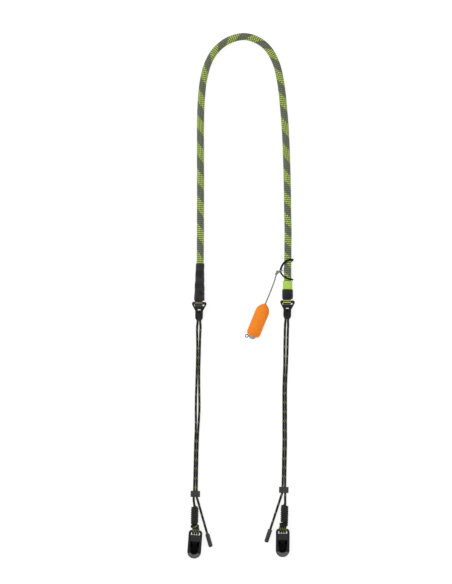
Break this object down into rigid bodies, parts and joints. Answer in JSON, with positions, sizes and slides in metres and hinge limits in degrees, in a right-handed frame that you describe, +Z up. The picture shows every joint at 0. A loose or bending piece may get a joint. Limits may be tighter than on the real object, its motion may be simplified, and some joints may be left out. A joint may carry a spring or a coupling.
{
  "type": "rope shoulder strap",
  "caption": "Braided rope carrying strap with adjustable doubled cord legs, quick-link clips at their feet and a small tethered float, laid out flat.",
  "frame": {"origin": "on the surface the strap lies on, in the middle of the box round its fittings", "axes": "+X across the two legs, from the leg under the long sleeve to the leg under the short sleeve; +Y from the clips towards the rope's top; +Z up from the surface"},
  "size_m": [0.1504, 0.7359, 0.0202],
  "materials": {
    "rope": "braided, olive with lime bands",
    "sleeve": "black shrink sleeve",
    "band": "neon lime whipping",
    "tape": "flattened rope sheath",
    "ring": "moulded black",
    "steel": "plain steel pin",
    "cord": "black braid with a lime tracer",
    "cord_end": "dark grey moulded end",
    "lock": "dark grey moulded bead",
    "clip": "glossy black moulding",
    "clip_face": "grey plate",
    "tongue": "black",
    "hitch": "black elastic cord",
    "tether": "light grey cord",
    "float": "soft matte orange foam",
    "cap": "blue-grey plug"
  },
  "bodies": {
    "rope": {"shoulder_rope": "rope", "left_sleeve": "sleeve", "left_rope_end": "tape", "right_sleeve": "sleeve", "right_band": "band", "right_rope_end": "tape"},
    "left_ring": {"left_ring": "ring", "left_ring_pin": "steel"},
    "left_leg": {"left_cord_turn": "cord", "left_main_strand": "cord", "left_tail_strand": "cord", "left_cord_end": "cord_end", "left_knot": "cord", "left_clip_loop": "cord"},
    "left_lock": {"left_lock": "lock"},
    "left_clip": {"left_clip_housing": "clip", "left_clip_face": "clip_face", "left_tongue_pin": "steel"},
    "left_tongue": {"left_clip_tongue": "tongue"},
    "right_ring": {"right_ring": "ring", "right_ring_pin": "steel"},
    "right_leg": {"right_cord_turn": "cord", "right_main_strand": "cord", "right_tail_strand": "cord", "right_cord_end": "cord_end", "right_knot": "cord", "right_clip_loop": "cord"},
    "right_lock": {"right_lock": "lock"},
    "right_clip": {"right_clip_housing": "clip", "right_clip_face": "clip_face", "right_tongue_pin": "steel"},
    "right_tongue": {"right_clip_tongue": "tongue"},
    "hitch": {"hitch_loop": "hitch"},
    "tether_knot": {"tether_knot": "tether"},
    "float": {"tether_cord": "tether", "float_body": "float"},
    "float_cap": {"float_cap": "cap", "pull_loop": "tether"}
  },
  "joints": [
    {"name": "left_ring_swing", "type": "hinge", "parent": "rope", "child": "left_ring", "pos_m": [-0.0583, 0.15095, 0.0074], "axis": [0.9998, -0.0209, 0], "range_deg": [-75, 70]},
    {"name": "left_leg_swing", "type": "hinge", "parent": "left_ring", "child": "left_leg", "pos_m": [-0.05859, 0.13695, 0.00505], "axis": [-0.0035, -0.1653, 0.9862], "range_deg": [-35, 12]},
    {"name": "left_lock_slide", "type": "slide", "parent": "left_leg", "child": "left_lock", "axis": [0.0209, 0.9998, 0], "range_m": [0, 0.05]},
    {"name": "left_clip_swing", "type": "hinge", "parent": "left_leg", "child": "left_clip", "pos_m": [-0.06334, -0.16851, 0.00525], "axis": [0.9973, -0.0732, 0], "range_deg": [-75, 75]},
    {"name": "left_tongue_press", "type": "hinge", "parent": "left_clip", "child": "left_tongue", "pos_m": [-0.06427, -0.18118, 0.00545], "axis": [0.9973, -0.0732, 0], "range_deg": [0, 18], "stiffness_Nm_per_rad": 0.01, "springref_deg": -2.86},
    {"name": "right_ring_swing", "type": "hinge", "parent": "rope", "child": "right_ring", "pos_m": [0.0652, 0.153, 0.0074], "axis": [0.9998, -0.0192, 0], "range_deg": [-75, 70]},
    {"name": "right_leg_swing", "type": "hinge", "parent": "right_ring", "child": "right_leg", "pos_m": [0.06493, 0.139, 0.00505], "axis": [-0.0032, -0.1653, 0.9862], "range_deg": [-12, 35]},
    {"name": "right_lock_slide", "type": "slide", "parent": "right_leg", "child": "right_lock", "axis": [0.0192, 0.9998, 0], "range_m": [0, 0.05]},
    {"name": "right_clip_swing", "type": "hinge", "parent": "right_leg", "child": "right_clip", "pos_m": [0.05857, -0.16643, 0.00525], "axis": [1, -0.0087, 0], "range_deg": [-75, 75]},
    {"name": "right_tongue_press", "type": "hinge", "parent": "right_clip", "child": "right_tongue", "pos_m": [0.05846, -0.17913, 0.00545], "axis": [1, -0.0087, 0], "range_deg": [0, 18], "stiffness_Nm_per_rad": 0.01, "springref_deg": -2.86},
    {"name": "hitch_slide", "type": "slide", "parent": "rope", "child": "hitch", "axis": [0.007, 1, 0], "range_m": [0, 0.03]},
    {"name": "tether_roll", "type": "hinge", "parent": "hitch", "child": "tether_knot", "pos_m": [0.0555, 0.1965, 0.0086], "axis": [0, 1, 0], "range_deg": [-60, 100]},
    {"name": "tether_swing", "type": "hinge", "parent": "tether_knot", "child": "float", "pos_m": [0.0511, 0.1943, 0.0086], "axis": [0, 0, 1], "range_deg": [-90, 4]},
    {"name": "cap_pull", "type": "slide", "parent": "float", "child": "float_cap", "axis": [-0.3746, -0.9272, 0], "range_m": [0, 0.004]}
  ]
}
